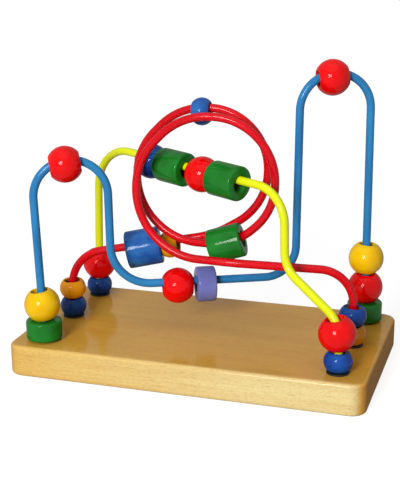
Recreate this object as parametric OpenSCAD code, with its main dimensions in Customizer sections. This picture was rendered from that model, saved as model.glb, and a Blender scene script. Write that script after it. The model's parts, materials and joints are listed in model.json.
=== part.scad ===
// Bead maze: a wooden board with three bent wires that carry loose painted beads.
// Millimetres, +X along the board, +Y to the rear, +Z up, origin under the middle of the board.

/* [Board] */
// Length of the board
base_length = 260; // [240:1:320]
// Width of the board
base_width = 145; // [130:1:200]
// Thickness of the board
base_thickness = 23; // [20:0.5:35]
// Radius of the board's upright corners
corner_radius = 11; // [5:0.5:18]
// Rounding of the board's top and bottom edges
edge_radius = 2.5; // [0.5:0.1:4]
// Distance from the wire feet to the short ends of the board
foot_end_inset = 22; // [18:0.5:30]
// Distance from the corner feet to the long sides of the board
foot_side_inset = 19.5; // [16:0.5:28]
// Depth of the holes that hold the wire feet
foot_depth = 15; // [8:0.5:18]

/* [Wire] */
// Thickness of the coated wire
wire_d = 6; // [4:0.1:7]
// Upright length of a leaning leg above its washer before it starts to bend
foot_straight = 1; // [0.5:0.5:6]
// Reach of the slight bend of a leaning leg, on each side of its corner
foot_bend = 4; // [2:0.5:8]

/* [Washers] */
// Diameter of the rubber washers round the wire feet
washer_d = 16; // [14:0.1:19]
// Thickness of the washers
washer_thickness = 1.2; // [0.8:0.1:2]
// Rounding of the washers' upper edge
washer_rim = 0.4; // [0.1:0.05:0.6]

/* [Blue wire] */
// Height of the left arch above the board
left_arch_height = 132.3; // [110:0.1:150]
// Width of the left arch between its legs
left_arch_width = 53; // [46:0.1:64]
// Outward lean of the left front leg
left_leg_lean = 4.3; // [1:0.1:8]
// Height of the right arch above the board
right_arch_height = 187.8; // [160:0.1:220]
// Width of the right arch between its legs
right_arch_width = 51.8; // [46:0.1:64]
// Lean of the other arch legs
arch_leg_lean = 1.3; // [0.8:0.1:4]
// Height of the dip between the arches above the board
dip_height = 38.5; // [34:0.1:50]
// Bend radius on the left of the dip
dip_left_radius = 30; // [20:0.5:36]
// Bend radius on the right of the dip
dip_right_radius = 23; // [18:0.5:36]

/* [Yellow wire] */
// Height of the run above the board where it leaves the left rear leg
run_height = 124.3; // [110:0.1:135]
// Fall of the run towards the right
run_fall = 7.2; // [0:0.1:12]
// Inward lean of the left rear leg
run_leg_lean = 3.6; // [1:0.1:6]
// Bend radius at the left end of the run
run_left_radius = 35; // [26:0.5:40]
// Bend radius at the right end of the run
run_right_radius = 25; // [20:0.5:32]
// Distance from the right front foot to the drop at the end of the run
drop_inset = 49; // [40:0.5:56]
// Height of the lower end of the drop above the board
drop_foot_height = 63.7; // [56:0.1:72]
// Height above the small bead at which the slope meets the right front leg
slope_rise = 20.6; // [19:0.1:24]
// Bend radius at both ends of the slope
slope_radius = 20; // [17:0.5:24]

/* [Red wire] */
// Height above the board at which the ramp meets the left middle leg
ramp_foot_height = 48.8; // [42:0.1:56]
// Bend radius at the foot of the ramp
ramp_radius = 29; // [24:0.5:32]
// Height above the board at which the way out meets the right middle leg
way_out_height = 54.8; // [48:0.1:60]
// Bend radius at the end of the way out
way_out_radius = 25; // [20:0.5:30]
// Height of the lowest point of the coil's rear turn above the board
coil_low = 66.6; // [61:0.1:73]
// Width of the rear turn of the coil
coil_width = 96.8; // [88:0.1:106]
// Height of the rear turn of the coil from its lowest to its highest point
coil_tall = 98; // [90:0.1:106]
// Growth of the coil from the rear turn to the front turn
coil_growth = 4; // [0:0.1:8]
// Place of the rear turn's middle along the board
coil_place = -6.6; // [-14:0.1:6]
// Step of the coil to the right from the rear turn to the front turn
coil_step = 7.1; // [2:0.1:10]
// Drop of the coil from the rear turn to the front turn
coil_drop = 5.3; // [2:0.1:8]
// Slant of the coil: its top lies right of its middle, its right side above its left side
coil_slant = 6; // [0:0.1:8]

/* [Beads] */
// Diameter of the balls
ball_d = 26; // [23:0.1:28]
// Diameter of the small beads
small_d = 20; // [18:0.1:22]
// Length of the small beads
small_length = 13.8; // [12:0.1:15]
// Diameter of the short drums
short_drum_d = 26; // [22:0.1:27]
// Length of the short drums
short_drum_length = 14; // [12:0.1:16]
// Diameter of the green drums
drum_d = 25; // [21:0.1:26]
// Length of the green drums
drum_length = 25; // [20:0.1:26]
// Diameter of the blue drum
big_drum_d = 28; // [24:0.1:30]
// Length of the blue drum
big_drum_length = 26; // [20:0.1:27]
// Rounding of the drums' rims
rim_radius = 1.6; // [0.5:0.1:3]
// Difference between a bead's bore and the wire
bore_play = 6; // [5:0.1:7]
// Bevel at the mouths of the bores
bore_bevel = 0.6; // [0.2:0.1:1]

/* [Places of the beads] */
// Angle of the ball on the left arch from the top of the arch
left_arch_ball_angle = -8; // [-30:1:30]
// Angle of the ball on the right arch from the top of the arch
right_arch_ball_angle = -6; // [-30:1:30]
// Distance of the ball in the dip from the left corner of the dip
dip_ball_place = 48.2; // [44:0.1:70]
// Bare wire between the ball and the drum in the dip
dip_gap = 2.3; // [1:0.1:10]
// Distance of the first ball on the run from the left corner of the run
run_ball_place = 60; // [54:0.1:66]
// Bare wire in the middle of the beads on the run
run_gap = 4.4; // [1:0.1:8]
// Distance of the blue drum from the foot of the ramp
ramp_drum_place = 57; // [48:0.1:60]
// Angle of the green drum along the lower right of the coil
coil_drum_angle = 17; // [12:0.5:24]
// Angle of the small bead along the upper left of the coil
coil_bead_angle = 4; // [0:0.5:20]

/* [Clearances] */
// Gap between a wire foot and its hole
foot_clearance = 0.1; // [0.05:0.01:0.2]
// Gap between beads that rest on each other or on the washers, and under the wire feet
rest_gap = 0.2; // [0.1:0.05:0.4]
// Gap between a wire and the bore of the bead that hangs on it
hang_gap = 0.3; // [0.2:0.05:0.5]
// Room between the green drum on the coil and the next turn of the coil
coil_gap = 1; // [0.6:0.1:4]

/* [Hidden] */
$fn = 96;

// Colours of the lacquered board, the washers, the coated wires and the painted beads
wood = [0.80, 0.64, 0.35];
rubber = [0.03, 0.03, 0.03];
blue_coat = [0.16, 0.48, 0.72];
yellow_coat = [0.93, 0.93, 0.08];
red_coat = [0.85, 0.02, 0.06];
red_paint = [0.88, 0.02, 0.03];
yellow_paint = [1.00, 0.78, 0.05];
orange_paint = [0.95, 0.58, 0.06];
green_paint = [0.10, 0.48, 0.14];
blue_paint = [0.05, 0.16, 0.58];
purple_paint = [0.43, 0.41, 0.74];

up = [0, 0, 1];
// Corners of a quarter turn of the coil, in degrees from its start
quarter_steps = [22.5, 67.5];
// Straight length kept between two bends
least_straight = 0.2;
// How far a straight runs on into a bend, and how much thinner the bend is, so that they cross cleanly
splice = 0.3;
splice_step = 0.05;
// Length by which a cut runs past the face that it opens
past = 3;

// Wire feet: places of the corner feet, the board's top, the bottoms of the wires
foot_x = base_length / 2 - foot_end_inset;
foot_y = base_width / 2 - foot_side_inset;
top = base_thickness;
seat = top - foot_depth + rest_gap;

// Bores of the beads, how far a bead hangs below the wire, and lengths between the bore mouths
bead_bore = wire_d + bore_play;
mouth_d = bead_bore + 2 * bore_bevel;
hang = bore_play / 2 - hang_gap;
ball_length = sqrt(ball_d ^ 2 - mouth_d ^ 2);

function unit(v) = v / norm(v);

// A wire follows a route of corner points, each rounded to its bend radius. Two bends that don't both
// fit between their corners shrink by one factor, so that the two bends of an arch are one half circle.
function heading(route, i) = unit(route[i + 1] - route[i]);
function turn(route, i) = acos(min(1, heading(route, i - 1) * heading(route, i)));
function full_reach(route, radii, i) =
    i == 0 || i == len(route) - 1 ? 0 : radii[i] * tan(turn(route, i) / 2);
function fit(route, radii, i) =
    let (room = norm(route[i + 1] - route[i]) - least_straight)
    min(1, room / (full_reach(route, radii, i) + full_reach(route, radii, i + 1)));
function reach(route, radii, i) =
    i == 0 || i == len(route) - 1 ? 0
    : full_reach(route, radii, i) * min(fit(route, radii, i - 1), fit(route, radii, i));
function bend_radius(route, radii, i) = reach(route, radii, i) / tan(turn(route, i) / 2);
function inward(route, i) =
    let (a = heading(route, i - 1), b = heading(route, i)) unit(b - (a * b) * a);
function bend_centre(route, radii, i) =
    route[i] - heading(route, i - 1) * reach(route, radii, i)
    + inward(route, i) * bend_radius(route, radii, i);

// Point and direction of a wire at an angle along one of its bends
function bend_point(route, radii, i, angle) =
    bend_centre(route, radii, i) + bend_radius(route, radii, i)
    * (heading(route, i - 1) * sin(angle) - inward(route, i) * cos(angle));
function bend_heading(route, i, angle) =
    heading(route, i - 1) * cos(angle) + inward(route, i) * sin(angle);

// Place of a bead, as its middle and the direction of its bore: hung on a straight, over a bend that
// turns down, or in a bend that turns up, where the mouths of its bore meet the wire first
function hung(point, direction, drop) =
    [point - drop * unit(up - (up * direction) * direction), direction];
function on_straight(route, i, distance) =
    hung(route[i] + heading(route, i) * distance, heading(route, i), hang);
function over_bend(route, radii, i, angle) =
    hung(bend_point(route, radii, i, angle), bend_heading(route, i, angle), hang);
function in_bend(route, radii, i, angle, length) =
    let (r = bend_radius(route, radii, i), rise = r - sqrt(r ^ 2 - (length / 2) ^ 2))
    hung(bend_point(route, radii, i, angle), bend_heading(route, i, angle), hang - rise);
// Place of an upright bead on a leg, above its washer and the beads below it
function on_leg(low, high, below, length) =
    let (z = top + washer_thickness + below + rest_gap + length / 2, lean = (high - low) / (high.z - low.z))
    [z < low.z ? [low.x, low.y, z] : low + lean * (z - low.z), up];

// Height above the board at which a leg leans, and the radius of its bend for its lean and height
lean_start = washer_thickness + foot_straight + foot_bend;
function foot_radius(lean, height) = foot_bend / tan(atan(lean / (height - lean_start)) / 2);

// Blue wire: upright diagonal plane from the left front foot to the right rear foot
span = norm([2 * foot_x, 2 * foot_y]);
function blue_at(s, z) = [-foot_x + 2 * foot_x * s / span, -foot_y + 2 * foot_y * s / span, z];
blue_corners = [
    [0, seat, 0],
    [0, top + lean_start, foot_radius(left_leg_lean, left_arch_height)],
    [-left_leg_lean, top + left_arch_height, left_arch_width / 2],
    [left_arch_width - left_leg_lean, top + left_arch_height, left_arch_width / 2],
    [left_arch_width - left_leg_lean + arch_leg_lean, top + dip_height, dip_left_radius],
    [span - right_arch_width - 2 * arch_leg_lean, top + dip_height, dip_right_radius],
    [span - right_arch_width - arch_leg_lean, top + right_arch_height, right_arch_width / 2],
    [span - arch_leg_lean, top + right_arch_height, right_arch_width / 2],
    [span, top + lean_start, foot_radius(arch_leg_lean, right_arch_height)],
    [span, seat, 0]
];
blue_route = [for (c = blue_corners) blue_at(c[0], c[1])];
blue_radii = [for (c = blue_corners) c[2]];

// Yellow wire: upright diagonal plane from the left rear foot to the right front foot
function yellow_at(s, z) = [-foot_x + 2 * foot_x * s / span, foot_y - 2 * foot_y * s / span, z];
small_bead_top = top + washer_thickness + rest_gap + small_length;
yellow_corners = [
    [0, seat, 0],
    [0, top + lean_start, foot_radius(run_leg_lean, run_height)],
    [run_leg_lean, top + run_height, run_left_radius],
    [span - drop_inset, top + run_height - run_fall, run_right_radius],
    [span - drop_inset + arch_leg_lean, top + drop_foot_height, slope_radius],
    [span, small_bead_top + slope_rise, slope_radius],
    [span, seat, 0]
];
yellow_route = [for (c = yellow_corners) yellow_at(c[0], c[1])];
yellow_radii = [for (c = yellow_corners) c[2]];

// Red wire: from the left middle foot up a ramp, twice round the coil and out to the right middle foot
coil_pitch = drum_d / 2 + wire_d / 2 + coil_gap;
front_place = coil_place + coil_step;
rear_z = top + coil_low + coil_tall / 2;
front_z = rear_z - coil_drop;
front_width = coil_width + coil_growth;
front_tall = coil_tall + coil_growth;
// Right, top, left and bottom points of the rear turn and then of the front turn
coil_points = [
    [coil_place + coil_width / 2, rear_z + coil_slant],
    [coil_place + coil_slant, rear_z + coil_tall / 2],
    [coil_place - coil_width / 2, rear_z - coil_slant],
    [coil_place + coil_step / 2, rear_z - coil_tall / 2],
    [front_place + front_width / 2, front_z + coil_slant],
    [front_place + coil_slant, front_z + front_tall / 2],
    [front_place - front_width / 2, front_z - coil_slant],
    [front_place, front_z - front_tall / 2]
];
function coil_y(i) = coil_pitch * (3 - i) / 4;
function quarter_corner(i, angle) =
    let (a = coil_points[i], b = coil_points[i + 1],
         s = sin(angle) / cos(quarter_steps[0]), c = cos(angle) / cos(quarter_steps[0]),
         y = coil_y(i + angle / 90))
    i % 2 == 0
        ? [b[0] + (a[0] - b[0]) * c, y, a[1] + (b[1] - a[1]) * s]
        : [a[0] + (b[0] - a[0]) * s, y, b[1] + (a[1] - b[1]) * c];
coil_corners = [for (i = [0 : len(coil_points) - 2]) for (a = quarter_steps) quarter_corner(i, a)];
// Corners of the climb from the ramp, seen from the rear turn's right point, and of the way out, seen
// from the front turn's bottom point: shares of that turn's width, the pitch and that turn's height
climb = [[-0.432, 0.88, -0.534], [-0.174, 0.88, -0.379], [-0.008, 0.82, -0.18]];
way_out = [0.233, -1, -0.006];
climb_corners = [for (c = climb)
    [coil_points[0][0] + c.x * coil_width, c.y * coil_pitch, coil_points[0][1] + c.z * coil_tall]];
way_out_corner = [coil_points[7][0] + way_out.x * front_width, way_out.y * coil_pitch,
    coil_points[7][1] + way_out.z * front_tall];
red_route = concat(
    [[-foot_x, 0, seat], [-foot_x, 0, top + ramp_foot_height]],
    climb_corners, coil_corners, [way_out_corner],
    [[foot_x, 0, top + way_out_height], [foot_x, 0, seat]]);
red_ends = len(red_route) - 1;
// The bends of the climb and the coil are as wide as fits between their corners
coil_radius = (coil_width + coil_tall) / 3;
red_radii = [for (i = [0 : red_ends])
    i == 1 ? ramp_radius : i == red_ends - 1 ? way_out_radius : coil_radius];
// Bends that carry the beads on the coil: on the upper left of its rear turn, on its lower right
coil_start = 2 + len(climb);
top_bend = coil_start + 2;
low_bend = coil_start + 6;

// Places of the beads on the blue wire
left_leg = [blue_route[1], blue_route[2]];
right_leg = [blue_route[8], blue_route[7]];
left_front_drum_at = on_leg(left_leg[0], left_leg[1], 0, short_drum_length);
left_front_ball_at = on_leg(left_leg[0], left_leg[1], short_drum_length + rest_gap, ball_length);
left_arch_ball_at = over_bend(blue_route, blue_radii, 2, turn(blue_route, 2) + left_arch_ball_angle);
dip_ball_at = on_straight(blue_route, 4, dip_ball_place);
dip_drum_at = on_straight(blue_route, 4,
    dip_ball_place + ball_length / 2 + dip_gap + short_drum_length / 2);
right_arch_ball_at = over_bend(blue_route, blue_radii, 6,
    turn(blue_route, 6) + right_arch_ball_angle);
right_rear_drum_at = on_leg(right_leg[0], right_leg[1], 0, short_drum_length);
right_rear_red_at = on_leg(right_leg[0], right_leg[1], short_drum_length + rest_gap, ball_length);
right_rear_yellow_at = on_leg(right_leg[0], right_leg[1],
    short_drum_length + ball_length + 2 * rest_gap, ball_length);

// Places of the beads on the yellow wire
rear_leg = [yellow_route[1], yellow_route[2]];
front_leg = [yellow_route[6], yellow_route[5]];
ball_to_drum = ball_length / 2 + rest_gap + drum_length / 2;
run_drum_place = run_ball_place + ball_to_drum;
run_red_place = run_drum_place + drum_length / 2 + run_gap + ball_length / 2;
left_rear_bead_at = on_leg(rear_leg[0], rear_leg[1], 0, small_length);
left_rear_ball_at = on_leg(rear_leg[0], rear_leg[1], small_length + rest_gap, ball_length);
run_ball_at = on_straight(yellow_route, 2, run_ball_place);
run_left_drum_at = on_straight(yellow_route, 2, run_drum_place);
run_red_at = on_straight(yellow_route, 2, run_red_place);
run_right_drum_at = on_straight(yellow_route, 2, run_red_place + ball_to_drum);
right_front_bead_at = on_leg(front_leg[0], front_leg[1], 0, small_length);
// The right front ball leans over the bend until the lower mouth of its bore rests on the small bead. At its
// middle the wire is off the axis of the bore by a third of what the bend turns aside in half its length
slope_bend = bend_radius(yellow_route, yellow_radii, 5);
slope_shift = (slope_bend - sqrt(slope_bend ^ 2 - (ball_length / 2) ^ 2)) / 3;
slope_arm = slope_bend - slope_shift - mouth_d / 2;
slope_drop = slope_rise - reach(yellow_route, yellow_radii, 5) - rest_gap;
slope_angle = turn(yellow_route, 5) - atan2(ball_length / 2, slope_arm)
    + asin(slope_drop / norm([slope_arm, ball_length / 2]));
right_front_ball_at = hung(bend_point(yellow_route, yellow_radii, 5, slope_angle),
    bend_heading(yellow_route, 5, slope_angle), slope_shift);

// Places of the beads on the red wire
middle_leg = [red_route[0], red_route[1]];
far_leg = [red_route[red_ends], red_route[red_ends - 1]];
ramp_bead_place = ramp_drum_place + big_drum_length / 2 + rest_gap + small_length / 2;
left_middle_blue_at = on_leg(middle_leg[0], middle_leg[1], 0, small_length);
left_middle_orange_at = on_leg(middle_leg[0], middle_leg[1], small_length + rest_gap, small_length);
ramp_drum_at = on_straight(red_route, 1, ramp_drum_place);
ramp_bead_at = on_straight(red_route, 1, ramp_bead_place);
coil_drum_at = in_bend(red_route, red_radii, low_bend, coil_drum_angle, drum_length);
coil_bead_at = over_bend(red_route, red_radii, top_bend, coil_bead_angle);
right_middle_orange_at = on_leg(far_leg[0], far_leg[1], 0, small_length);
right_middle_blue_at = on_leg(far_leg[0], far_leg[1], small_length + rest_gap, small_length);

// Stands its children at a point, with their z axis along z_axis and their x axis along x_axis
module framed(point, x_axis, z_axis) {
    y_axis = cross(z_axis, x_axis);
    multmatrix([
        [x_axis.x, y_axis.x, z_axis.x, point.x],
        [x_axis.y, y_axis.y, z_axis.y, point.y],
        [x_axis.z, y_axis.z, z_axis.z, point.z],
        [0, 0, 0, 1]
    ]) children();
}

// Stands its children at a point, with their z axis along a direction
module along(point, direction) {
    upright = norm([direction.x, direction.y]) < 0.001;
    framed(point, upright ? [1, 0, 0] : unit(cross(up, direction)), direction) children();
}

module at_place(place) {
    along(place[0], place[1]) children();
}

// Round wire with straight runs and true bends
module bent_wire(route, radii) {
    last = len(route) - 1;
    for (i = [0 : last - 1]) {
        h = heading(route, i);
        from = route[i] + h * (i == 0 ? 0 : reach(route, radii, i) - splice);
        to = route[i + 1] - h * (i == last - 1 ? 0 : reach(route, radii, i + 1) - splice);
        along(from, h) cylinder(d = wire_d, h = norm(to - from));
    }
    for (i = [1 : last - 1]) {
        axis = cross(heading(route, i - 1), inward(route, i));
        framed(bend_centre(route, radii, i), -inward(route, i), axis)
            rotate_extrude(angle = turn(route, i))
                translate([bend_radius(route, radii, i), 0]) circle(d = wire_d - 2 * splice_step);
    }
}

// Outline of the board's rim from its flat middle outwards, with rounded edges
module rim_outline() {
    square([corner_radius - edge_radius, base_thickness]);
    translate([0, edge_radius]) square([corner_radius, base_thickness - 2 * edge_radius]);
    for (z = [edge_radius, base_thickness - edge_radius])
        translate([corner_radius - edge_radius, z]) circle(r = edge_radius);
}

// Straight stretch of the board's rim, running along +Y on the +X side
module rim_side(length) {
    rotate([90, 0, 0]) linear_extrude(height = length, center = true) rim_outline();
}

// Washer with a rounded upper edge round a wire foot, flat on the board
module washer(x, y) {
    hole = wire_d / 2 + foot_clearance;
    flat = washer_d / 2 - washer_rim;
    color(rubber) translate([x, y, top]) rotate_extrude() {
        translate([hole, 0]) square([flat - hole, washer_thickness]);
        translate([hole, 0]) square([washer_d / 2 - hole, washer_thickness - washer_rim]);
        translate([flat, washer_thickness - washer_rim]) circle(r = washer_rim);
    }
}

module bore_cut(length) {
    cylinder(d = bead_bore, h = length + 2 * past, center = true);
    for (side = [0, 1]) mirror([0, 0, side])
        translate([0, 0, length / 2 - bore_bevel])
            cylinder(d1 = bead_bore, d2 = mouth_d + 2 * past, h = bore_bevel + past);
}

// Ball drilled through its middle
module ball() {
    difference() {
        sphere(d = ball_d);
        bore_cut(ball_length);
    }
}

// Small bead with one round curve from mouth to mouth
module small_bead() {
    half = small_length / 2;
    curve_x = ((small_d / 2) ^ 2 - (mouth_d / 2) ^ 2 - half ^ 2) / (small_d - mouth_d);
    difference() {
        rotate_extrude() intersection() {
            translate([curve_x, 0]) circle(r = small_d / 2 - curve_x);
            translate([0, -half]) square([small_d, small_length]);
        }
        bore_cut(small_length);
    }
}

// Drum with rounded rims
module drum(d, length) {
    difference() {
        rotate_extrude() {
            translate([0, -length / 2]) square([d / 2 - rim_radius, length]);
            translate([0, rim_radius - length / 2]) square([d / 2, length - 2 * rim_radius]);
            for (side = [-1, 1])
                translate([d / 2 - rim_radius, side * (length / 2 - rim_radius)]) circle(r = rim_radius);
        }
        bore_cut(length);
    }
}

module short_drum() {
    drum(short_drum_d, short_drum_length);
}

module green_drum() {
    color(green_paint) drum(drum_d, drum_length);
}

module base() {
    side_x = base_length / 2 - corner_radius;
    side_y = base_width / 2 - corner_radius;
    color(wood) difference() {
        union() {
            translate([-side_x, -side_y, 0]) cube([2 * side_x, 2 * side_y, base_thickness]);
            for (side = [0, 1]) {
                mirror([side, 0, 0]) translate([side_x, 0, 0]) rim_side(2 * side_y);
                mirror([0, side, 0]) translate([0, side_y, 0]) rotate(90) rim_side(2 * side_x);
                for (end = [0, 1]) mirror([end, 0, 0]) mirror([0, side, 0])
                    translate([side_x, side_y, 0]) rotate_extrude(angle = 90) rim_outline();
            }
        }
        for (x = [-foot_x, foot_x]) for (y = [-foot_y, 0, foot_y])
            translate([x, y, top - foot_depth])
                cylinder(d = wire_d + 2 * foot_clearance, h = foot_depth + past);
    }
}

module blue_wire() { color(blue_coat) bent_wire(blue_route, blue_radii); }
module yellow_wire() { color(yellow_coat) bent_wire(yellow_route, yellow_radii); }
module red_wire() { color(red_coat) bent_wire(red_route, red_radii); }

module left_front_washer() { washer(-foot_x, -foot_y); }
module left_middle_washer() { washer(-foot_x, 0); }
module left_rear_washer() { washer(-foot_x, foot_y); }
module right_front_washer() { washer(foot_x, -foot_y); }
module right_middle_washer() { washer(foot_x, 0); }
module right_rear_washer() { washer(foot_x, foot_y); }

module left_front_green_drum() { color(green_paint) at_place(left_front_drum_at) short_drum(); }
module left_front_yellow_ball() { color(yellow_paint) at_place(left_front_ball_at) ball(); }
module left_arch_red_ball() { color(red_paint) at_place(left_arch_ball_at) ball(); }
module dip_red_ball() { color(red_paint) at_place(dip_ball_at) ball(); }
module dip_purple_drum() { color(purple_paint) at_place(dip_drum_at) short_drum(); }
module right_arch_red_ball() { color(red_paint) at_place(right_arch_ball_at) ball(); }
module right_rear_green_drum() { color(green_paint) at_place(right_rear_drum_at) short_drum(); }
module right_rear_red_ball() { color(red_paint) at_place(right_rear_red_at) ball(); }
module right_rear_yellow_ball() { color(yellow_paint) at_place(right_rear_yellow_at) ball(); }

module left_rear_blue_bead() { color(blue_paint) at_place(left_rear_bead_at) small_bead(); }
module left_rear_red_ball() { color(red_paint) at_place(left_rear_ball_at) ball(); }
module run_blue_ball() { color(blue_paint) at_place(run_ball_at) ball(); }
module run_left_green_drum() { at_place(run_left_drum_at) green_drum(); }
module run_red_ball() { color(red_paint) at_place(run_red_at) ball(); }
module run_right_green_drum() { at_place(run_right_drum_at) green_drum(); }
module right_front_blue_bead() { color(blue_paint) at_place(right_front_bead_at) small_bead(); }
module right_front_red_ball() { color(red_paint) at_place(right_front_ball_at) ball(); }

module left_middle_blue_bead() { color(blue_paint) at_place(left_middle_blue_at) small_bead(); }
module left_middle_orange_bead() { color(orange_paint) at_place(left_middle_orange_at) small_bead(); }
module ramp_blue_drum() { color(blue_paint) at_place(ramp_drum_at) drum(big_drum_d, big_drum_length); }
module ramp_orange_bead() { color(orange_paint) at_place(ramp_bead_at) small_bead(); }
module coil_green_drum() { at_place(coil_drum_at) green_drum(); }
module coil_blue_bead() { color(blue_paint) at_place(coil_bead_at) small_bead(); }
module right_middle_orange_bead() { color(orange_paint) at_place(right_middle_orange_at) small_bead(); }
module right_middle_blue_bead() { color(blue_paint) at_place(right_middle_blue_at) small_bead(); }

base();
blue_wire();
yellow_wire();
red_wire();
left_front_washer();
left_middle_washer();
left_rear_washer();
right_front_washer();
right_middle_washer();
right_rear_washer();
left_front_green_drum();
left_front_yellow_ball();
left_arch_red_ball();
dip_red_ball();
dip_purple_drum();
right_arch_red_ball();
right_rear_green_drum();
right_rear_red_ball();
right_rear_yellow_ball();
left_rear_blue_bead();
left_rear_red_ball();
run_blue_ball();
run_left_green_drum();
run_red_ball();
run_right_green_drum();
right_front_blue_bead();
right_front_red_ball();
left_middle_blue_bead();
left_middle_orange_bead();
ramp_blue_drum();
ramp_orange_bead();
coil_green_drum();
coil_blue_bead();
right_middle_orange_bead();
right_middle_blue_bead();
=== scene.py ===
"""Bead maze: its finishes, fine wires and beads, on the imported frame.

Metres, +X along the board, +Y to the rear, +Z up, origin under the middle of the board.
Wire and bead sizes are written in millimetres, as on the solids.
"""
import json
import math

import bmesh
import bpy
from mathutils import Matrix, Vector


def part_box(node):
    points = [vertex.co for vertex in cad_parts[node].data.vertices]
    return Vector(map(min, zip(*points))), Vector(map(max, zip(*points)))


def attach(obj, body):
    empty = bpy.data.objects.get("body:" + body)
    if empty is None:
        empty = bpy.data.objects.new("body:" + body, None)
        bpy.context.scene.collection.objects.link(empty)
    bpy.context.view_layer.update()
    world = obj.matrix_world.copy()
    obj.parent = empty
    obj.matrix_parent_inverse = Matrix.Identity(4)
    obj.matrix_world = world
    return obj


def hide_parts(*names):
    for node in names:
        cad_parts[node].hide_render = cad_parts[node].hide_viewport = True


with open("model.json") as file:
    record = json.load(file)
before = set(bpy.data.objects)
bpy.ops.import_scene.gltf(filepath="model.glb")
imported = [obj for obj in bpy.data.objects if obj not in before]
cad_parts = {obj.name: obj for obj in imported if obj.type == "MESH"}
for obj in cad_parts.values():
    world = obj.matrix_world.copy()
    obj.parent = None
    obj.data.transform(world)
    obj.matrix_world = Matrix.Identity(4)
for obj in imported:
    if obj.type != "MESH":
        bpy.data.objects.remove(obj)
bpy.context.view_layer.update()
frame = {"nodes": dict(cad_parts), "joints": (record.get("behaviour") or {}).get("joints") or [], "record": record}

MM = 0.001
UP = Vector((0, 0, 1))
FULL_TURN = 2 * math.pi
QUARTER_TURN = math.pi / 2
WHITE = (1, 1, 1, 1)
FIXED_BODY = "board_and_wires"
SLOT_OF = {part["node"]: part["material_slot"] for part in frame["record"]["subparts"]}
JOINT_OF = {joint["child"]: joint for joint in frame["joints"]}

# Camera: the photograph's frame and focal length in pixels, and where it was taken from
PHOTO_WIDTH = 400
PHOTO_HEIGHT = 498
FOCAL_PX = 1136
SENSOR_MM = 36
CLIP_START = 0.01
CAMERA_AT = Vector((0.2329, -0.7578, 0.3243))
CAMERA_AZIMUTH = math.radians(17.48)
CAMERA_ELEVATION = math.radians(16.77)
CAMERA_ROLL = math.radians(-0.30)

# Light: where each lamp stands as seen from its target, in degrees and metres, its size in metres and
# its power in watts, and the strength of the light from all round
LIGHT_TARGET = Vector((0, 0, 0.1))
KEY = dict(azimuth=-5, elevation=20, distance=2.2, size=0.75, power=41)
FILL = dict(azimuth=0, elevation=75, distance=2.0, size=2.5, power=9.5)
AMBIENT = 0.17
# Floor: its size in metres, its tone, and its glow near the object, where the shadow lies, and far off
FLOOR_SIZE = 60
FLOOR_TONE = (0.35, 0.35, 0.35, 1)
GLOW_DISTANCES = (0.2, 1.4)
GLOWS = (0.84, 0.96)

# Wires, in millimetres, with heights above the board's top
BOARD_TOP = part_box("base")[1].z / MM
WIRE_RADIUS = 3
WIRE_SIDES = 28
WIRE_STEP = 1.6
FOOT_X = 108
FOOT_Y = 53
SEAT = -14.8
LEAN_START = 6.2
FOOT_BEND = 4
LEAST_STRAIGHT = 0.2
SPAN = math.hypot(2 * FOOT_X, 2 * FOOT_Y)

LEFT_ARCH_HEIGHT = 132.3
LEFT_ARCH_WIDTH = 53
LEFT_LEG_LEAN = 4.3
RIGHT_ARCH_HEIGHT = 187.8
RIGHT_ARCH_WIDTH = 51.8
ARCH_LEG_LEAN = 1.3
DIP_HEIGHT = 38.5
DIP_LEFT_RADIUS = 30
DIP_RIGHT_RADIUS = 23

RUN_HEIGHT = 124.3
RUN_FALL = 7.2
RUN_LEG_LEAN = 3.6
RUN_LEFT_RADIUS = 35
RUN_RIGHT_RADIUS = 25
DROP_INSET = 49
DROP_FOOT_HEIGHT = 63.7
SLOPE_FOOT_HEIGHT = 35.8
SLOPE_RADIUS = 20

RAMP_FOOT_HEIGHT = 48.8
RAMP_RADIUS = 29
WAY_OUT_HEIGHT = 54.8
WAY_OUT_RADIUS = 25
COIL_LOW = 66.6
COIL_WIDTH = 96.8
COIL_TALL = 98
COIL_HEIGHT = COIL_LOW + COIL_TALL / 2
COIL_GROWTH = 4
COIL_PLACE = -6.6
COIL_STEP = 7.1
COIL_DROP = 5.3
COIL_SLANT = 6
COIL_PITCH = 16.5
# Wider than the coil itself, so that its bends shrink to fit and meet in one round
COIL_BEND = (COIL_WIDTH + COIL_TALL) / 3
# The coil starts this many quarters of a turn before it passes the middle of the board
QUARTERS_BEHIND = 3
QUARTERS = 4
# Each quarter turn is bent round two corners, which lie half a step inside its ends
HALF_STEP = QUARTER_TURN / 4
QUARTER_STEPS = (HALF_STEP, 3 * HALF_STEP)
# Corners of the climb from the ramp, seen from the rear turn's right point, and of the way out, seen
# from the front turn's bottom point: shares of that turn's width, the pitch and that turn's height
CLIMB = ((-0.432, 0.88, -0.534), (-0.174, 0.88, -0.379), (-0.008, 0.82, -0.18))
WAY_OUT = (0.233, -1, -0.006)

# Beads, in millimetres: LIP is the rounding at the mouths of a bore, RIM the one round a drum, and HANG
# how far a bead's middle lies under its wire's
BORE_RADIUS = 6
LIP_RADIUS = 0.8
RIM_RADIUS = 1.6
HANG = 2.7
BEAD_SIDES = 72
ARC_STEPS = 20
LIP_STEPS = 5
RIM_STEPS = 6
BALL_D = 26
SMALL_D = 20
SMALL_LENGTH = 13.8
SMALL_MOUTH_D = 13.2
# Outer diameter and length of each drum
DRUMS = {
    "left_front_green_drum": (26, 14), "right_rear_green_drum": (26, 14), "dip_purple_drum": (26, 14),
    "run_left_green_drum": (25, 25), "run_right_green_drum": (25, 25), "coil_green_drum": (25, 25),
    "ramp_blue_drum": (28, 26),
}
# Beads that stand upright on a leg, by the start of their names
STANDING = ("left_front", "right_rear", "left_rear", "left_middle", "right_middle", "right_front_blue")
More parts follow.
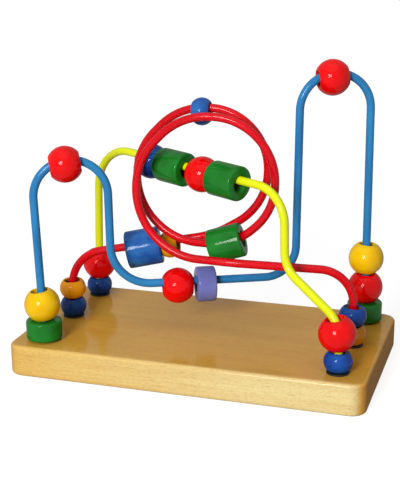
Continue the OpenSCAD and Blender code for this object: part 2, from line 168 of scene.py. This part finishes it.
# Loose beads that lean a little on their wires: degrees about X and about Y
LEANS = {
    "left_front_yellow_ball": (3, -8), "right_rear_yellow_ball": (-3, 4), "right_rear_red_ball": (2, 2),
    "left_rear_red_ball": (3, -1), "left_middle_orange_bead": (2, -2), "right_middle_blue_bead": (-2, 3),
    "right_front_red_ball": (8, 0), "right_front_blue_bead": (-5, 0),
}
# Drums that are turned aside on their wires, right end to the rear: degrees
TURNS = {"coil_green_drum": 10, "ramp_blue_drum": 9}
# Each upright bead is spun this much further than the last, so that no two show the same grain
GOLDEN_TURN = math.radians(137.5)
# A bore that slants less than this, as a sine, counts as upright
LEAST_SLANT = 0.01

# Colours as seen on a screen: main tone, and the tone that it drifts to
PAINTS = {
    "red_paint": ((250, 4, 8), (230, 2, 6)),
    "yellow_paint": ((250, 204, 5), (242, 182, 4)),
    "orange_paint": ((248, 168, 10), (234, 146, 8)),
    "green_paint": ((26, 130, 38), (20, 110, 30)),
    "blue_paint": ((24, 84, 170), (14, 48, 140)),
    "purple_paint": ((118, 124, 196), (104, 110, 182)),
}
# Two blue beads get a lighter copy of the blue paint: partly a lighter tone of their own, partly a painted sheen
LIGHT_BLUE_AND_SHEEN = ((44, 112, 184), (18, 70, 160))
SHEENED_BLUE_BEADS = ("coil_blue_bead", "ramp_blue_drum")
COATS = {
    "blue_coat": ((46, 136, 194), (36, 116, 178)),
    "yellow_coat": ((238, 246, 26), (228, 236, 18)),
    "red_coat": ((226, 4, 24), (202, 2, 18)),
}
WOOD = ((229, 180, 74), (219, 162, 56))
# Raw wood inside the bores, its tones darkened as painted shade
BORE_WOOD_IN_PAINTED_SHADE = ((150, 108, 62), (96, 64, 34))
RUBBER = ((18, 17, 16), (44, 40, 36))
# Tones that lie over the wood's own, from the lowest to the topmost, and the most of each that shows; the lowest
# is a painted sheen on the front face
WOOD_LAYERS = {
    # A painted sheen, not a tone of the wood: the front face paler, most towards the right
    "painted_front_sheen": ((240, 220, 156), 1.0),
    "bands": ((206, 146, 58), 0.26),
    "streaks": ((196, 138, 58), 0.24),
    "flecks": ((158, 104, 44), 0.26),
    "pores": ((186, 128, 50), 0.22),
    "ends": ((214, 142, 54), 0.55),
}

# Finishes: nearly all of a noise pattern lies in this range
NOISE_RANGE = (0.3, 0.7)
# Painted sheen on the front face: how far in front of the board's middle it sets in and is full, and its share
# along the board
PAINTED_SHEEN_FRONT = (0.068, 0.0725)
PAINTED_SHEEN_ALONG = (-0.13, 0.06)
PAINTED_SHEEN_SHARES = (0.2, 1.0)
# Board: depth of the flecks in its grain, its gloss, and how much of that its end grain loses
FLECK_DEPTH = 0.6
WOOD_GLOSS = 0.38
END_GRAIN_LOSS = 0.32
# Bores: how far from a bead's middle the paint sets in and is full, and how ragged its edge is
PAINT_EDGE = (0.006, 0.010)
PAINT_RAGGED = 0.004


def turned(azimuth, elevation, roll=0.0):
    """Rotation of a camera or lamp that looks inwards from that direction."""
    tilt = QUARTER_TURN - elevation
    return (Matrix.Rotation(azimuth, 4, "Z") @ Matrix.Rotation(tilt, 4, "X")
            @ Matrix.Rotation(roll, 4, "Z"))


def link(name, data):
    obj = bpy.data.objects.new(name, data)
    bpy.context.scene.collection.objects.link(obj)
    return obj


def srgb(colour):
    """Linear colour with alpha for a colour of 0 to 255, by the formula of the sRGB standard."""
    def linear(value):
        value /= 255
        return value / 12.92 if value <= 0.04045 else ((value + 0.055) / 1.055) ** 2.4
    return (*(linear(value) for value in colour), 1.0)


class Nodes:
    """Short calls for building the node tree of a material or of the world."""

    # The mix node has sockets of one name for each type, so the ones for colours go by number
    MIX_SHARE, MIX_FIRST, MIX_SECOND = 0, 6, 7
    MIX_COLOUR = 2

    def __init__(self, owner):
        owner.use_nodes = True
        self.owner = owner
        self.tree = owner.node_tree
        self.tree.nodes.clear()

    def add(self, kind, inputs, **settings):
        """New node with those settings, each input linked to another node's output or set to a value."""
        node = self.tree.nodes.new(kind)
        for key, value in settings.items():
            setattr(node, key, value)
        for key, value in inputs.items():
            if isinstance(value, bpy.types.NodeSocket):
                self.tree.links.new(value, node.inputs[key])
            else:
                node.inputs[key].default_value = value
        return node

    def math(self, operation, first, second=0.0):
        return self.add("ShaderNodeMath", {0: first, 1: second}, operation=operation).outputs[0]

    def coords(self, which="Object"):
        return self.add("ShaderNodeTexCoord", {}).outputs[which]

    def axes(self, vector):
        node = self.add("ShaderNodeSeparateXYZ", {0: vector})
        return node.outputs["X"], node.outputs["Y"], node.outputs["Z"]

    def seen(self):
        """1 for rays from the camera and rays that gloss or glass sends on, 0 for the others."""
        path = self.add("ShaderNodeLightPath", {})
        seen = self.math("MAXIMUM", path.outputs["Is Camera Ray"], path.outputs["Is Glossy Ray"])
        return self.math("MAXIMUM", seen, path.outputs["Is Transmission Ray"])

    def noise(self, vector, scale, detail=3.0, roughness=0.5):
        """Cloudy pattern of one scale, or of a scale for each axis."""
        if isinstance(scale, tuple):
            vector = self.add("ShaderNodeMapping", {"Vector": vector, "Scale": scale}).outputs["Vector"]
            scale = 1.0
        inputs = {"Vector": vector, "Scale": scale, "Detail": detail, "Roughness": roughness}
        return self.add("ShaderNodeTexNoise", inputs).outputs["Fac"]

    def span(self, value, source, target=(0.0, 1.0)):
        """Maps one range of numbers onto another, with the ends held."""
        inputs = {"Value": value, "From Min": source[0], "From Max": source[1],
                  "To Min": target[0], "To Max": target[1]}
        return self.add("ShaderNodeMapRange", inputs, clamp=True).outputs["Result"]

    def mix(self, share, first, second):
        inputs = {self.MIX_SHARE: share, self.MIX_FIRST: first, self.MIX_SECOND: second}
        return self.add("ShaderNodeMix", inputs, data_type="RGBA").outputs[self.MIX_COLOUR]

    def bump(self, height, strength, distance):
        inputs = {"Height": height, "Strength": strength, "Distance": distance}
        return self.add("ShaderNodeBump", inputs).outputs["Normal"]

    def end(self, shader, output="ShaderNodeOutputMaterial"):
        """Ends the tree in that shader, and gives back what the tree belongs to."""
        self.add(output, {"Surface": shader.outputs[0]})
        return self.owner

    def principled(self, inputs):
        return self.end(self.add("ShaderNodeBsdfPrincipled", inputs))


def new_material(name):
    return Nodes(bpy.data.materials.new(name))


def wood_material():
    """Lacquered beech: faint growth bands, fine streaks, pores and short dark flecks along the board, and a
    painted sheen on its front face.
    """
    n = new_material("lacquered_wood")
    place = n.coords()
    x, y, _ = n.axes(place)
    along_normal, _, _ = n.axes(n.coords("Normal"))
    clouds = n.noise(place, (8, 26, 26), detail=2.0)
    bands = n.noise(place, (5, 150, 150), roughness=0.55)
    streaks = n.noise(place, (22, 620, 620), detail=4.0, roughness=0.6)
    pores = n.noise(place, (420, 760, 760), detail=2.0, roughness=0.6)
    flecks = n.span(n.noise(place, (130, 1300, 1300), detail=2.0), (0.60, 0.68))
    smears = n.noise(place, (9, 30, 30))
    # Painted sheen: the front face is paler, most of it towards the right
    front = n.span(n.math("MULTIPLY", y, -1.0), PAINTED_SHEEN_FRONT)
    # End grain drinks more of the lacquer, goes browner and loses gloss
    ends = n.span(n.math("ABSOLUTE", along_normal), (0.45, 0.95))
    patterns = {
        "painted_front_sheen": n.math("MULTIPLY", front, n.span(x, PAINTED_SHEEN_ALONG, PAINTED_SHEEN_SHARES)),
        "bands": n.span(bands, (0.45, 0.70)),
        "streaks": n.span(streaks, (0.48, 0.74)),
        "flecks": flecks,
        "pores": n.span(pores, (0.46, 0.70)),
        "ends": ends,
    }
    main, drift = (srgb(colour) for colour in WOOD)
    tone = n.mix(n.span(clouds, NOISE_RANGE), main, drift)
    for layer, (colour, most) in WOOD_LAYERS.items():
        tone = n.mix(n.math("MULTIPLY", patterns[layer], most), tone, srgb(colour))
    grain = n.math("SUBTRACT", streaks, n.math("MULTIPLY", flecks, FLECK_DEPTH))
    return n.principled({
        "Base Color": tone,
        "Roughness": n.span(streaks, NOISE_RANGE, (0.40, 0.55)),
        "Normal": n.bump(grain, strength=0.08, distance=0.0004),
        "Specular IOR Level": 0.0,
        "Coat Weight": n.math("SUBTRACT", WOOD_GLOSS, n.math("MULTIPLY", ends, END_GRAIN_LOSS)),
        "Coat Roughness": 0.13,
        "Coat Normal": n.bump(smears, strength=0.05, distance=0.001),
    })


def paint_material(name, tones):
    """Gloss paint on a turned bead, with a hint of the wood grain along its bore under it."""
    main, drift = (srgb(colour) for colour in tones)
    n = new_material(name)
    place = n.coords()
    clouds = n.noise(place, 70.0)
    grain = n.noise(place, (620, 620, 70), roughness=0.6)
    peel = n.noise(place, 900.0, detail=2.0)
    tone = n.mix(n.span(clouds, (0.35, 0.72)), main, drift)
    tone = n.mix(n.span(grain, (0.55, 0.80), (0.0, 0.25)), tone, drift)
    return n.principled({
        "Base Color": tone,
        "Roughness": n.span(peel, NOISE_RANGE, (0.30, 0.38)),
        "Normal": n.bump(grain, strength=0.10, distance=0.0003),
        "Specular IOR Level": 0.0,
        "Coat Weight": 0.30,
        "Coat Roughness": 0.11,
    })


def bore_material(slot):
    """Inside of a bore: raw wood darkened as painted shade, with paint that ran in at the mouths."""
    pale, dark = (srgb(colour) for colour in BORE_WOOD_IN_PAINTED_SHADE)
    _, paint = (srgb(colour) for colour in PAINTS[slot])
    n = new_material(slot + "_bore")
    place = n.coords()
    _, _, z = n.axes(place)
    grain = n.noise(place, (700, 700, 90), roughness=0.6)
    ragged = n.math("MULTIPLY", n.noise(place, 420.0), PAINT_RAGGED)
    depth = n.math("ADD", n.math("ABSOLUTE", z), ragged)
    return n.principled({
        "Base Color": n.mix(n.span(depth, PAINT_EDGE), n.mix(grain, pale, dark), paint),
        "Roughness": n.span(grain, NOISE_RANGE, (0.65, 0.85)),
        "Normal": n.bump(grain, strength=0.25, distance=0.0003),
    })


def coat_material(slot):
    """Smooth coating on a wire: slow drifts of tone along it and a little unevenness in its surface."""
    main, drift = (srgb(colour) for colour in COATS[slot])
    n = new_material(slot)
    place = n.coords("UV")
    clouds = n.noise(place, (26, 2, 1))
    specks = n.noise(place, (520, 9, 1), detail=2.0)
    waves = n.noise(place, (160, 3, 1), detail=2.0)
    return n.principled({
        "Base Color": n.mix(n.span(clouds, (0.35, 0.7)), main, drift),
        "Roughness": n.span(specks, NOISE_RANGE, (0.28, 0.38)),
        "Normal": n.bump(waves, strength=0.08, distance=0.0004),
        "Specular IOR Level": 0.0,
        "Coat Weight": 0.34,
        "Coat Roughness": 0.15,
    })


def rubber_material():
    """Black rubber with a faint grain and dust in it."""
    black, dusty = (srgb(colour) for colour in RUBBER)
    n = new_material("black_rubber")
    dust = n.noise(n.coords(), 650.0, detail=4.0, roughness=0.6)
    return n.principled({
        "Base Color": n.mix(n.span(dust, (0.45, 0.8)), black, dusty),
        "Roughness": n.span(dust, NOISE_RANGE, (0.55, 0.72)),
        "Normal": n.bump(dust, strength=0.15, distance=0.0002),
        "Specular IOR Level": 0.3,
    })


def floor_material():
    """Pale floor that the camera sees as white, with the object's shadow kept on it."""
    n = new_material("floor")
    pale = n.add("ShaderNodeBsdfDiffuse", {"Color": FLOOR_TONE})
    away = n.add("ShaderNodeVectorMath", {0: n.coords()}, operation="LENGTH").outputs["Value"]
    strength = n.math("MULTIPLY", n.seen(), n.span(away, GLOW_DISTANCES, GLOWS))
    glow = n.add("ShaderNodeEmission", {"Strength": strength})
    return n.end(n.add("ShaderNodeAddShader", {0: pale.outputs[0], 1: glow.outputs[0]}))


def make_camera():
    data = bpy.data.cameras.new("camera")
    data.sensor_width = SENSOR_MM
    data.lens = FOCAL_PX * SENSOR_MM / max(PHOTO_WIDTH, PHOTO_HEIGHT)
    data.clip_start = CLIP_START
    camera = link("camera", data)
    camera.matrix_world = (Matrix.Translation(CAMERA_AT)
                           @ turned(CAMERA_AZIMUTH, CAMERA_ELEVATION, CAMERA_ROLL))
    bpy.context.scene.camera = camera


def make_lamp(name, azimuth, elevation, distance, size, power):
    data = bpy.data.lights.new(name, "AREA")
    data.shape = "DISK"
    data.size = size
    data.energy = power
    rotation = turned(math.radians(azimuth), math.radians(elevation))
    lamp = link(name, data)
    lamp.matrix_world = (Matrix.Translation(LIGHT_TARGET) @ rotation
                         @ Matrix.Translation((0, 0, distance)))


def make_world():
    """Soft light from all round, which gloss shows as the white of a studio."""
    n = Nodes(bpy.data.worlds.new("studio"))
    strength = n.span(n.seen(), (0.0, 1.0), (AMBIENT, 1.0))
    light = n.add("ShaderNodeBackground", {"Color": WHITE, "Strength": strength})
    bpy.context.scene.world = n.end(light, "ShaderNodeOutputWorld")


def make_floor():
    mesh = bpy.data.meshes.new("floor")
    half = FLOOR_SIZE / 2
    corners = [(-half, -half, 0), (half, -half, 0), (half, half, 0), (-half, half, 0)]
    mesh.from_pydata(corners, [], [(0, 1, 2, 3)])
    mesh.materials.append(floor_material())
    link("floor", mesh)


# Wire routes: corner points, each rounded to its bend radius
def heading(route, i):
    return (route[i + 1] - route[i]).normalized()


def turn(route, i):
    return heading(route, i - 1).angle(heading(route, i))


def full_reach(route, radii, i):
    """How far a bend of its full radius reaches from its corner along each straight."""
    if i in (0, len(route) - 1):
        return 0.0
    return radii[i] * math.tan(turn(route, i) / 2)


def fit(route, radii, i):
    """How far the two bends at the ends of a straight have to shrink to fit on it."""
    room = (route[i + 1] - route[i]).length - LEAST_STRAIGHT
    return min(1.0, room / (full_reach(route, radii, i) + full_reach(route, radii, i + 1)))


def centre_line(route, radii):
    """Points along the middle of a wire, close together on its bends."""
    points = [route[0]]
    for i in range(1, len(route) - 1):
        before = heading(route, i - 1)
        after = heading(route, i)
        angle = turn(route, i)
        reach = full_reach(route, radii, i) * min(fit(route, radii, i - 1), fit(route, radii, i))
        radius = reach / math.tan(angle / 2)
        inward = (after - before * before.dot(after)).normalized()
        centre = route[i] - before * reach + inward * radius
        steps = max(2, math.ceil(angle * radius / WIRE_STEP))
        for k in range(steps + 1):
            a = angle * k / steps
            points.append(centre + (before * math.sin(a) - inward * math.cos(a)) * radius)
    points.append(route[-1])
    return points


def foot_radius(lean, height):
    """Radius of the slight bend where a leaning leg leaves its foot, which reaches FOOT_BEND each way."""
    return FOOT_BEND / math.tan(math.atan(lean / (height - LEAN_START)) / 2)


def diagonal_line(first_y, corners):
    """Wire on the upright plane between two corner feet.

    Each corner is its way along the plane from the left foot, its height and its bend radius.
    """
    route, radii = [], []
    for s, z, radius in corners:
        share = 1 - 2 * s / SPAN
        route.append(Vector((-FOOT_X * share, first_y * share, BOARD_TOP + z)))
        radii.append(radius)
    return centre_line(route, radii)


def blue_line():
    inner_left = LEFT_ARCH_WIDTH - LEFT_LEG_LEAN
    inner_right = SPAN - RIGHT_ARCH_WIDTH - ARCH_LEG_LEAN
    return diagonal_line(-FOOT_Y, [
        (0, SEAT, 0),
        (0, LEAN_START, foot_radius(LEFT_LEG_LEAN, LEFT_ARCH_HEIGHT)),
        (-LEFT_LEG_LEAN, LEFT_ARCH_HEIGHT, LEFT_ARCH_WIDTH / 2),
        (inner_left, LEFT_ARCH_HEIGHT, LEFT_ARCH_WIDTH / 2),
        (inner_left + ARCH_LEG_LEAN, DIP_HEIGHT, DIP_LEFT_RADIUS),
        (inner_right - ARCH_LEG_LEAN, DIP_HEIGHT, DIP_RIGHT_RADIUS),
        (inner_right, RIGHT_ARCH_HEIGHT, RIGHT_ARCH_WIDTH / 2),
        (SPAN - ARCH_LEG_LEAN, RIGHT_ARCH_HEIGHT, RIGHT_ARCH_WIDTH / 2),
        (SPAN, LEAN_START, foot_radius(ARCH_LEG_LEAN, RIGHT_ARCH_HEIGHT)),
        (SPAN, SEAT, 0),
    ])


def yellow_line():
    return diagonal_line(FOOT_Y, [
        (0, SEAT, 0),
        (0, LEAN_START, foot_radius(RUN_LEG_LEAN, RUN_HEIGHT)),
        (RUN_LEG_LEAN, RUN_HEIGHT, RUN_LEFT_RADIUS),
        (SPAN - DROP_INSET, RUN_HEIGHT - RUN_FALL, RUN_RIGHT_RADIUS),
        (SPAN - DROP_INSET + ARCH_LEG_LEAN, DROP_FOOT_HEIGHT, SLOPE_RADIUS),
        (SPAN, SLOPE_FOOT_HEIGHT, SLOPE_RADIUS),
        (SPAN, SEAT, 0),
    ])


def coil_points():
    """Right, top, left and bottom points of the rear turn and then of the front turn: x, z."""
    front_x = COIL_PLACE + COIL_STEP
    front_z = COIL_HEIGHT - COIL_DROP
    front_width = COIL_WIDTH + COIL_GROWTH
    front_tall = COIL_TALL + COIL_GROWTH
    return [
        (COIL_PLACE + COIL_WIDTH / 2, COIL_HEIGHT + COIL_SLANT),
        (COIL_PLACE + COIL_SLANT, COIL_HEIGHT + COIL_TALL / 2),
        (COIL_PLACE - COIL_WIDTH / 2, COIL_HEIGHT - COIL_SLANT),
        (COIL_PLACE + COIL_STEP / 2, COIL_HEIGHT - COIL_TALL / 2),
        (front_x + front_width / 2, front_z + COIL_SLANT),
        (front_x + COIL_SLANT, front_z + front_tall / 2),
        (front_x - front_width / 2, front_z - COIL_SLANT),
        (front_x, front_z - front_tall / 2),
    ]


def quarter_corner(points, i, angle):
    """Corner outside the quarter turn that runs from one point of the coil to the next."""
    (ax, az), (bx, bz) = points[i], points[i + 1]
    s = math.sin(angle) / math.cos(HALF_STEP)
    c = math.cos(angle) / math.cos(HALF_STEP)
    y = COIL_PITCH * (QUARTERS_BEHIND - i - angle / QUARTER_TURN) / QUARTERS
    if i % 2 == 0:
        return Vector((bx + (ax - bx) * c, y, BOARD_TOP + az + (bz - az) * s))
    return Vector((ax + (bx - ax) * s, y, BOARD_TOP + bz + (az - bz) * c))


def red_line():
    points = coil_points()
    start_x, start_z = points[0]
    end_x, end_z = points[-1]
    route = [Vector((-FOOT_X, 0, BOARD_TOP + SEAT)), Vector((-FOOT_X, 0, BOARD_TOP + RAMP_FOOT_HEIGHT))]
    for x, y, z in CLIMB:
        route.append(Vector((start_x + x * COIL_WIDTH, y * COIL_PITCH, BOARD_TOP + start_z + z * COIL_TALL)))
    for i in range(len(points) - 1):
        for angle in QUARTER_STEPS:
            route.append(quarter_corner(points, i, angle))
    x, y, z = WAY_OUT
    route.append(Vector((end_x + x * (COIL_WIDTH + COIL_GROWTH), y * COIL_PITCH,
                         BOARD_TOP + end_z + z * (COIL_TALL + COIL_GROWTH))))
    route.append(Vector((FOOT_X, 0, BOARD_TOP + WAY_OUT_HEIGHT)))
    route.append(Vector((FOOT_X, 0, BOARD_TOP + SEAT)))
    radii = [COIL_BEND] * len(route)
    radii[1] = RAMP_RADIUS
    radii[-2] = WAY_OUT_RADIUS
    return centre_line(route, radii)


def mesh_of(name, bm, materials):
    """Mesh of a finished bmesh, with its faces turned outwards."""
    mesh = bpy.data.meshes.new(name)
    bmesh.ops.recalc_face_normals(bm, faces=bm.faces)
    bm.to_mesh(mesh)
    bm.free()
    for material in materials:
        mesh.materials.append(material)
    return mesh


def wire_rings(bm, line):
    """Rings of vertices round a line in millimetres, without twist, and how far along each one lies."""
    ahead = (line[1] - line[0]).normalized()
    side = ahead.orthogonal().normalized()
    rings, lengths = [], []
    travelled = 0.0
    for i, point in enumerate(line):
        before = (point - line[i - 1]).normalized() if i else ahead
        after = (line[i + 1] - point).normalized() if i + 1 < len(line) else before
        tangent = (before + after).normalized()
        side = ahead.rotation_difference(tangent) @ side
        ahead = tangent
        across = tangent.cross(side)
        travelled += (point - line[i - 1]).length if i else 0.0
        ring = []
        for k in range(WIRE_SIDES):
            a = FULL_TURN * k / WIRE_SIDES
            out = side * math.cos(a) + across * math.sin(a)
            ring.append(bm.verts.new((point + out * WIRE_RADIUS) * MM))
        rings.append(ring)
        lengths.append(travelled * MM)
    return rings, lengths


def make_wire(name, line, material):
    """Round tube along a line, its flat ends down in the board, with a UV map along and round it."""
    bm = bmesh.new()
    uv = bm.loops.layers.uv.new("along")
    rings, lengths = wire_rings(bm, line)
    for i in range(len(rings) - 1):
        for k in range(WIRE_SIDES):
            following = (k + 1) % WIRE_SIDES
            face = bm.faces.new((rings[i][k], rings[i][following],
                                 rings[i + 1][following], rings[i + 1][k]))
            places = ((i, k), (i, k + 1), (i + 1, k + 1), (i + 1, k))
            for loop, (ring_at, turn_at) in zip(face.loops, places):
                loop[uv].uv = (lengths[ring_at], turn_at / WIRE_SIDES)
            face.smooth = True
    bm.faces.new(reversed(rings[0]))
    bm.faces.new(rings[-1])
    return link(name, mesh_of(name, bm, (material,)))


# Beads: half outlines from the middle of the bore over the mouth to the middle of the outside
def arc(centre_r, centre_z, radius, start, end, steps):
    angles = [start + (end - start) * k / steps for k in range(steps + 1)]
    return [(centre_r + radius * math.cos(a), centre_z + radius * math.sin(a)) for a in angles]


def round_outline(centre_r, radius):
    """Half outline of a bead whose outside is one round curve, with a rounded mouth."""
    lip_r = BORE_RADIUS + LIP_RADIUS
    lip_z = math.sqrt((radius - LIP_RADIUS) ** 2 - (lip_r - centre_r) ** 2)
    meets = math.atan2(lip_z, lip_r - centre_r)
    return ([(BORE_RADIUS, 0.0), (BORE_RADIUS, lip_z / 2)]
            + arc(lip_r, lip_z, LIP_RADIUS, math.pi, meets, LIP_STEPS)
            + arc(centre_r, 0.0, radius, meets, 0.0, ARC_STEPS)[1:])


def ball_outline():
    return round_outline(0.0, BALL_D / 2)


def small_outline():
    """The small bead's curve passes its widest point and the edges of its mouths."""
    wide, mouth, half = SMALL_D / 2, SMALL_MOUTH_D / 2, SMALL_LENGTH / 2
    centre_r = (wide ** 2 - mouth ** 2 - half ** 2) / (2 * (wide - mouth))
    return round_outline(centre_r, wide - centre_r)


def drum_outline(diameter, length):
    half = length / 2
    side = diameter / 2
    return ([(BORE_RADIUS, 0.0), (BORE_RADIUS, half / 2)]
            + arc(BORE_RADIUS + LIP_RADIUS, half - LIP_RADIUS, LIP_RADIUS, math.pi, QUARTER_TURN, LIP_STEPS)
            + arc(side - RIM_RADIUS, half - RIM_RADIUS, RIM_RADIUS, QUARTER_TURN, 0.0, RIM_STEPS)
            + [(side, half / 3), (side, 0.0)])


def outline_of(node):
    if node in DRUMS:
        return drum_outline(*DRUMS[node])
    return ball_outline() if node.endswith("ball") else small_outline()


def bead_mesh(node, paint, bore):
    """Turned bead: its outline swept round the bore, painted outside and raw inside."""
    half = outline_of(node)
    outline = half + [(r, -z) for r, z in reversed(half[1:-1])]
    bm = bmesh.new()
    columns = []
    for k in range(BEAD_SIDES):
        a = FULL_TURN * k / BEAD_SIDES
        columns.append([bm.verts.new((r * MM * math.cos(a), r * MM * math.sin(a), z * MM))
                        for r, z in outline])
    for k, column in enumerate(columns):
        beside = columns[(k + 1) % BEAD_SIDES]
        for i, (r, _) in enumerate(outline):
            j = (i + 1) % len(outline)
            face = bm.faces.new((column[i], column[j], beside[j], beside[i]))
            face.smooth = True
            face.material_index = int(r <= BORE_RADIUS and outline[j][0] <= BORE_RADIUS)
    return mesh_of(node + "_turned", bm, (paint, bore))


def bore_direction(node, middle):
    """Direction of a bead's bore: upright on a leg, along a slide, or along the bend that it turns on."""
    if node.startswith(STANDING):
        return UP
    joint = JOINT_OF[node]
    axis = Vector(joint["axis"])
    if joint["type"] == "slide":
        return axis.normalized()
    return axis.cross(middle - Vector(joint["pos_m"])).normalized()


def spin_of(direction, index):
    """Turn of a bead about its bore: each its own where upright, in quarter turns from level elsewhere."""
    level = UP.cross(direction)
    if level.length < LEAST_SLANT:
        return GOLDEN_TURN * index
    return math.atan2(level.y, level.x) + QUARTER_TURN * index


def rise_of(length, aside):
    """How far a hanging drum rides up when it turns aside until the wire meets the sides of its bore."""
    play = BORE_RADIUS - WIRE_RADIUS
    shift = length / 2 * math.sin(aside)
    return max(0.0, HANG - math.sqrt(play ** 2 - shift ** 2))


def bead_place(node, index):
    """Place of a bead on its wire, with its bore's direction, its lean and its spin."""
    low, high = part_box(node)
    middle = (low + high) / 2
    lean_x, lean_y = (math.radians(angle) for angle in LEANS.get(node, (0, 0)))
    aside = math.radians(TURNS.get(node, 0))
    if aside:
        middle = middle + UP * rise_of(DRUMS[node][1], aside) * MM
    direction = bore_direction(node, middle)
    return (Matrix.Translation(middle) @ Matrix.Rotation(aside, 4, "Z")
            @ Matrix.Rotation(lean_x, 4, "X") @ Matrix.Rotation(lean_y, 4, "Y")
            @ UP.rotation_difference(direction).to_matrix().to_4x4()
            @ Matrix.Rotation(spin_of(direction, index), 4, "Z"))


def make_bead(node, index, paint, bore):
    bead = link(node + "_turned", bead_mesh(node, paint, bore))
    bead.matrix_world = bead_place(node, index)
    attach(bead, node)
    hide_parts(node)


def finish_node(name, material):
    for slot in frame["nodes"][name].material_slots:
        slot.material = material


def main():
    bpy.context.scene.view_settings.view_transform = "Standard"
    make_camera()
    make_world()
    make_lamp("key", **KEY)
    make_lamp("fill", **FILL)
    make_floor()

    finish_node("base", wood_material())
    rubber = rubber_material()
    for name in frame["nodes"]:
        if name.endswith("_washer"):
            finish_node(name, rubber)

    for node, line in (("blue_wire", blue_line()), ("yellow_wire", yellow_line()), ("red_wire", red_line())):
        wire = make_wire(node + "_coated", line, coat_material(SLOT_OF[node]))
        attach(wire, FIXED_BODY)
        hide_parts(node)

    paints = {slot: paint_material(slot, tones) for slot, tones in PAINTS.items()}
    # Lighter copy of the blue paint, partly a painted sheen
    light_blue_and_sheen = paint_material("light_blue_and_sheen_paint", LIGHT_BLUE_AND_SHEEN)
    bores = {slot: bore_material(slot) for slot in PAINTS}
    for index, node in enumerate(JOINT_OF):
        slot = SLOT_OF[node]
        paint = light_blue_and_sheen if node in SHEENED_BLUE_BEADS else paints[slot]
        make_bead(node, index, paint, bores[slot])

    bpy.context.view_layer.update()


main()
